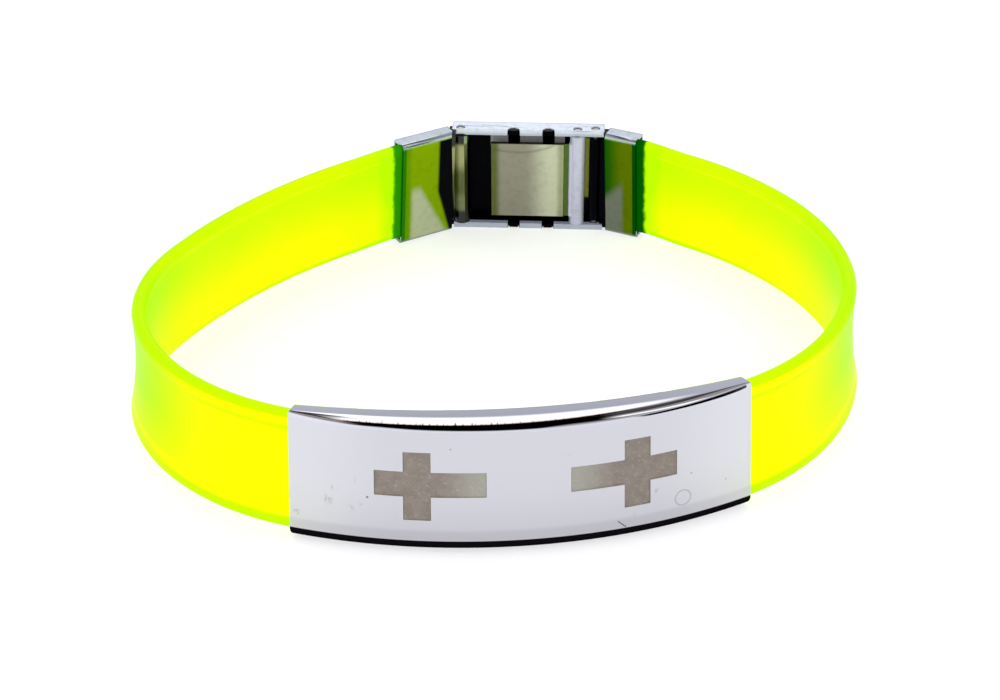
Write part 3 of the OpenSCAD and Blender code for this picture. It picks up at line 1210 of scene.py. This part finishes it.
def cut_slot(plate, place, settings):
    """Cuts the slot for the strap through the plate."""
    half_t = in_mm(settings.thickness) / 2 + SLOT_GAP
    low, high = -in_mm(settings.width) / 2 - SLOT_GAP - SAG, in_mm(settings.width) / 2 + SLOT_GAP
    near = half_t - SLOT_CORNER
    right = [(half_t, low + SLOT_CORNER), (half_t, high - SLOT_CORNER), (near, high)]
    left = [(-near, high), (-half_t, high - SLOT_CORNER), (-half_t, low + SLOT_CORNER)]
    section = [(near, low), *right, *left, (-near, low)]
    alongs = np.linspace(-PLATE_RUN - CUTTER_PAST, PLATE_RUN + CUTTER_PAST, CUTTER_SECTIONS)
    points = np.concatenate([stand(place, plate_station(along), section) for along in alongs])
    cutter = new_piece("slot_cutter", points, tube_faces(len(alongs), len(section)))
    cut = plate.modifiers.new("slot", "BOOLEAN")
    cut.operation = "DIFFERENCE"
    cut.solver = "EXACT"
    cut.object = cutter
    apply_modifiers(plate)
    bpy.data.objects.remove(cutter)


class BRACELET_OT_plate(Operator):
    """Builds the curved plate with its two etched crosses"""

    bl_idname = "bracelet.plate"
    bl_label = "Plate"
    bl_options = {"REGISTER", "UNDO"}

    def execute(self, context):
        settings = context.scene.bracelet_plate
        place = find_place(settings)
        points, faces, sunk, around = build_plate(settings, place)
        finishes = {
            POLISHED: plate_material(settings, place),
            ETCHED: etched_material(settings, place),
            BLACK: rim_material(),
        }
        plate = new_piece("cross_plate", points, faces, *finishes.values())
        # Etched faces for the crosses, and painted shade on the faces of the lower rounding
        for face in plate.data.polygons:
            if any(sunk[index] for index in face.vertices):
                face.material_index = ETCHED
            elif len(face.vertices) == 4 and all(on_rim(index, around) for index in face.vertices):
                face.material_index = BLACK
        cut_slot(plate, place, context.scene.bracelet_strap)
        sharpen(plate, degrees=32)
        dress(plate, "polished_steel", "plate")
        return {"FINISHED"}


# Clasp

BEVEL_SEGMENTS = 3
BEVEL_FROM = math.radians(40)
BLOCK_BEVEL = 0.06
# In metres
WELD_DISTANCE = 1e-6
# Painted shadow: black blocks in the cover's notches, half their length, and their reach outward and up
NOTCH_SHADE_HALF = 0.5
NOTCH_SHADE_OUTS = (COVER_WALL + 0.04, -0.2)
NOTCH_SHADE_UPS = (5.75, 6.3)
# Painted shadow: black blocks above and below each cap's hinge, their reach outward, foot and top, and
# where they are along the cover
HINGE_SHADE_OUTS = (-0.7, 0.7)
HINGE_SHADE_FOOT = -6.2
HINGE_SHADE_TOP = 5.95
LEFT_HINGE_SHADE = (RUNS["cover"] + 0.1, RUNS["cover"] + 1.2)
RIGHT_HINGE_SHADE = (-1.02, -0.12)
# How far from the band's middle these blocks start
LEFT_HINGE_SHADE_UP = 5.6
RIGHT_HINGE_SHADE_UP = 5.25


def soften(piece, width):
    """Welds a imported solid's facets and rounds its edges."""
    weld = piece.modifiers.new("weld", "WELD")
    weld.merge_threshold = WELD_DISTANCE
    bevel = piece.modifiers.new("edges", "BEVEL")
    bevel.width = width
    bevel.segments = BEVEL_SEGMENTS
    bevel.limit_method = "ANGLE"
    bevel.angle_limit = BEVEL_FROM
    bevel.harden_normals = True


class Block(NamedTuple):
    """A small block of painted shadow at the clasp: its ends ahead of the cover's start, outward and
    up.
    """

    alongs: tuple
    outs: tuple
    ups: tuple


def notch_shade_blocks():
    """Black blocks of painted shadow in the four notches of the cover's side walls."""
    near, far = NOTCH_SHADE_UPS
    blocks = []
    for side in (-1, 1):
        notch = TAB_AT + side * TAB_WIDTH / 2
        for ups in ((-far, -near), (near, far)):
            blocks.append(Block((notch - NOTCH_SHADE_HALF, notch + NOTCH_SHADE_HALF), NOTCH_SHADE_OUTS, ups))
    return blocks


def hinge_shade_blocks():
    """Black blocks of painted shadow above and below each end cap's hinge, beside the cover."""
    blocks = []
    for alongs, near in ((LEFT_HINGE_SHADE, LEFT_HINGE_SHADE_UP), (RIGHT_HINGE_SHADE, RIGHT_HINGE_SHADE_UP)):
        for ups in ((HINGE_SHADE_FOOT, -near), (near, HINGE_SHADE_TOP)):
            blocks.append(Block(alongs, HINGE_SHADE_OUTS, ups))
    return blocks


def new_blocks(name, place, blocks, material):
    """One piece made of blocks."""
    points = []
    faces = []
    for block in blocks:
        (near, far), (low, high) = block.outs, block.ups
        section = [(near, low), (far, low), (far, high), (near, high)]
        first = len(points)
        faces += [tuple(first + index for index in face) for face in tube_faces(2, 4)]
        for along in block.alongs:
            points += list(stand(place, ahead(STARTS["cover"], along), section))
    piece = new_piece(name, points, faces, material)
    soften(piece, BLOCK_BEVEL * MM)
    return dress(piece, "clasp_steel")


class BRACELET_OT_clasp(Operator):
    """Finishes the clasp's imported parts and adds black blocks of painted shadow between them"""

    bl_idname = "bracelet.clasp"
    bl_label = "Clasp"
    bl_options = {"REGISTER", "UNDO"}

    def execute(self, context):
        settings = context.scene.bracelet_clasp
        place = find_place(context.scene.bracelet_plate)
        pin_steel = plain_material("pin_steel", settings.metal)
        pins = ("right_cap_pin", "left_cap_pin", "inner_blade_pin")
        finishes = {
            "clasp_cover": cover_material(settings, place),
            "left_end_cap": cap_material("left", LEFT_LOOK, settings, place),
            "right_end_cap": cap_material("right", RIGHT_LOOK, settings, place),
            "inner_blade": blade_material(settings, place),
            **dict.fromkeys(pins, pin_steel),
        }
        for name, material in finishes.items():
            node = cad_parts[name]
            node.data.materials.clear()
            node.data.materials.append(material)
            if name not in pins:
                soften(node, settings.bevel)
        # Painted shadow: the black blocks in the notches and beside the hinges
        shadow_paint = plain_material("shadow_black_steel", SHADOW)
        new_blocks("notch_shade_blocks", place, notch_shade_blocks(), shadow_paint)
        new_blocks("hinge_shade_blocks", place, hinge_shade_blocks(), shadow_paint)
        return {"FINISHED"}


# Stage

FLOOR_HALF = 1500
SUN_ELEVATION = math.radians(60)
SUN_ANGLE = math.radians(30)
SENSOR_WIDTH = 36
# In metres
CLIP_START = 0.01

# The studio seen from the bracelet: cards at an azimuth and an elevation in degrees
GREY_WALL = (0.66, 0.675, 0.75)
PALE_SHEET = (1.28, 1.28, 1.34)
BROWN_CARD = (0.46, 0.40, 0.38)
BLACK_CARD = (0.002, 0.001, 0.002)
SOFTBOX = (1.9, 1.86, 1.82)
SOFTBOX_RIM = (2.0, 1.55, 1.35)
LEFT_CARD = Patch((-55, 46), (22, 14), (6, 5))
RIGHT_CARD = Patch((60, 57), (42, 13), (6, 5))
POST = Patch((43, 14), (10, 11), (3, 5))
# What hangs overhead, by how far right and back it is for each unit of height. Three edges slant
CORNER = Patch((0.37, 0.15), (0.13, 0.2), (0.04, 0.06))
STREAK = Patch((-0.1, 0.66), (0.08, 0.32), (0.08, 0.05))
OVERHEAD_CARD = (-0.13, 0.36, 0.08)
STREAK_SLANT = 0.75
SOFTBOX_FRONT_SLANT = 1.42
SOFTBOX_LEFT_SLANT = 0.44


def world_material(strength):
    """Studio round the bracelet: grey walls, a pale sheet low in front, dark cards and a softbox."""
    world = bpy.data.worlds.new("studio")
    bpy.context.scene.world = world
    shader = Shader(world)
    x, y, z = shader.split(shader.node("ShaderNodeTexCoord", output="Generated"))
    elevation = shader.math("ARCSINE", z) * math.degrees(1)
    azimuth = shader.math("ARCTAN2", x, 0 - y) * math.degrees(1)
    above = shader.highest(z, 0.02)
    right = x / above
    back = y / above
    sheet = elevation.smooth(38, 18) * y.smooth(0.3, -0.1)
    brown = shader.highest(LEFT_CARD.mask(azimuth, elevation), RIGHT_CARD.mask(azimuth, elevation))
    overhead = right.line(*OVERHEAD_CARD) * elevation.smooth(28, 42) * back.smooth(0.7, 0.6)
    corner = CORNER.mask(right, back) * 0.85
    streak = STREAK.mask(back + right * STREAK_SLANT, right)
    beyond = back - right * SOFTBOX_FRONT_SLANT - 0.13
    from_left = right + 0.255 - back.least(0.25) * SOFTBOX_LEFT_SLANT
    softbox = beyond.smooth(-0.05, 0.05) * from_left.smooth(-0.02, 0.05)
    softbox = softbox * back.smooth(1.95, 1.2) * right.smooth(0.33, 0.27)
    colour = painted(
        GREY_WALL,
        (sheet, PALE_SHEET),
        (brown, BROWN_CARD),
        (shader.highest(POST.mask(azimuth, elevation), overhead, corner), BLACK_CARD),
        (streak * 0.9, SOFTBOX),
        (softbox, beyond.smooth(0.16, 0.0).mix(SOFTBOX, SOFTBOX_RIM)),
    )
    light = shader.node("ShaderNodeBackground", None, {"Color": colour, "Strength": strength})
    shader.node("ShaderNodeOutputWorld", None, {"Surface": light})


def facing(turn, elevation):
    """Direction in which something stands, to the left of straight in front and at a height."""
    level = math.cos(elevation)
    return Vector((-math.sin(turn) * level, -math.cos(turn) * level, math.sin(elevation)))


def aimed(name, data, place, back):
    """A camera or lamp that looks away from a direction."""
    made = bpy.data.objects.new(name, data)
    made.location = place
    made.rotation_euler = (-back).to_track_quat("-Z", "Y").to_euler()
    bpy.context.scene.collection.objects.link(made)
    return made


class BRACELET_OT_stage(Operator):
    """Sets the floor, the light and the camera"""

    bl_idname = "bracelet.stage"
    bl_label = "Stage"
    bl_options = {"REGISTER", "UNDO"}

    def execute(self, context):
        settings = context.scene.bracelet_studio
        corners = FLOOR_HALF * np.array([(-1, -1, 0), (1, -1, 0), (1, 1, 0), (-1, 1, 0)])
        floor = new_piece("floor", corners, [(0, 1, 2, 3)], floor_material(settings))
        world_material(settings.sky)
        sun = bpy.data.lights.new("key", "SUN")
        sun.energy = settings.key
        sun.angle = SUN_ANGLE
        over = facing(settings.turn, SUN_ELEVATION)
        lamp = aimed("key", sun, over, over)
        lamp.visible_glossy = False
        sun.use_shadow = False
        back = facing(settings.turn, settings.elevation)
        place = Vector(settings.target) + back * settings.distance
        camera = aimed("camera", bpy.data.cameras.new("camera"), place, back)
        camera.data.sensor_width = SENSOR_WIDTH
        camera.data.lens = settings.lens
        camera.data.clip_start = CLIP_START
        context.scene.camera = camera
        context.scene.view_settings.view_transform = "Standard"
        return {"FINISHED"}


class BRACELET_PT_panel(Panel):
    """Lists the bracelet's pieces and their settings"""

    bl_idname = "BRACELET_PT_panel"
    bl_label = "Cross Bracelet"
    bl_space_type = "VIEW_3D"
    bl_region_type = "UI"
    bl_category = "Bracelet"

    def draw(self, context):
        for operator, group, kind in STEPS:
            box = self.layout.box()
            for name in kind.__annotations__:
                box.prop(getattr(context.scene, group), name)
            box.operator(operator.bl_idname)


# Every operator with the name and the kind of its settings
STEPS = (
    (BRACELET_OT_stage, "bracelet_studio", StudioSettings),
    (BRACELET_OT_strap, "bracelet_strap", StrapSettings),
    (BRACELET_OT_plate, "bracelet_plate", PlateSettings),
    (BRACELET_OT_clasp, "bracelet_clasp", ClaspSettings),
)
OPERATORS, GROUPS, SETTINGS = zip(*STEPS)
CLASSES = (*SETTINGS, *OPERATORS, BRACELET_PT_panel)


def register():
    for found in CLASSES:
        bpy.utils.register_class(found)
    for name, group in zip(GROUPS, SETTINGS):
        setattr(bpy.types.Scene, name, PointerProperty(type=group))


def unregister():
    for name in GROUPS:
        delattr(bpy.types.Scene, name)
    for found in reversed(CLASSES):
        bpy.utils.unregister_class(found)


def main():
    register()
    bpy.ops.bracelet.stage()
    bpy.ops.bracelet.strap()
    bpy.ops.bracelet.plate()
    bpy.ops.bracelet.clasp()
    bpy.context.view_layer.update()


if __name__ == "__main__":
    main()
